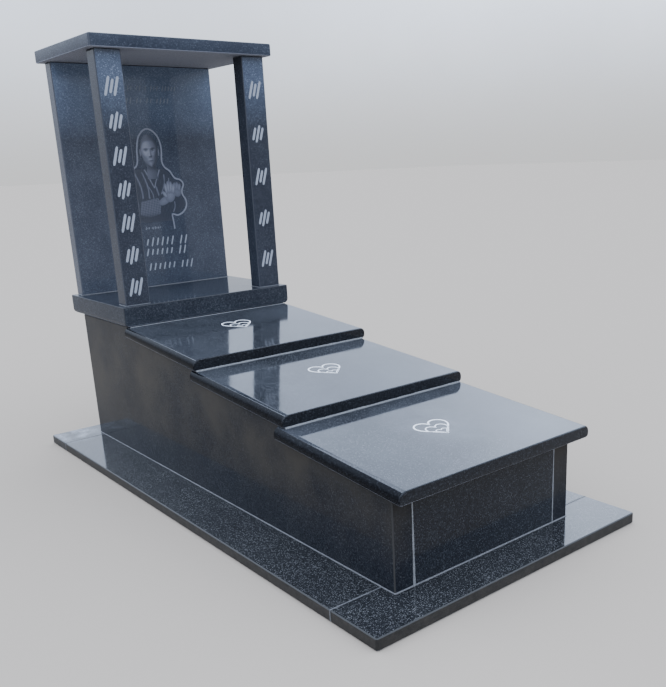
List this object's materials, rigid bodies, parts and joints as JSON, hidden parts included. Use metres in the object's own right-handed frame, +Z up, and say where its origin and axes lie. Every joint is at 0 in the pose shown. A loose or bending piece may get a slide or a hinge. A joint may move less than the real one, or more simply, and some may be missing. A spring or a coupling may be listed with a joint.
{
  "type": "headstone",
  "caption": "Full-length grave monument of polished stone slabs: hollow casket under lapped sloping slabs on a base border, with a plinth, tall tablet, columns and canopy.",
  "frame": {"origin": "on the ground, under the middle of the base's outline", "axes": "+Z up; -Y towards the foot of the monument, +Y towards the headstone; +X to the right of someone who faces the headstone from the foot"},
  "size_m": [0.9, 1.888, 1.3492],
  "materials": {
    "dark_granite": "polished dark granite with fine grey speckle",
    "base_granite": "polished grey-black granite with coarser speckle",
    "joint_sealant": "thin grey-white bead of sealant in the joints",
    "engraving": "pale engraved strokes and figure"
  },
  "bodies": {
    "root": {"base_front_slab": "base_granite", "base_back_slab": "base_granite", "base_left_slab": "base_granite", "base_right_slab": "base_granite", "casket_left_side": "dark_granite", "casket_right_side": "dark_granite", "casket_front_panel": "dark_granite", "casket_back_panel": "dark_granite", "ledger_lower": "dark_granite", "ledger_middle": "dark_granite", "ledger_upper": "dark_granite", "headstone_plinth": "dark_granite", "headstone_tablet": "dark_granite", "column_left": "dark_granite", "column_right": "dark_granite", "canopy": "dark_granite"}
  },
  "joints": []
}
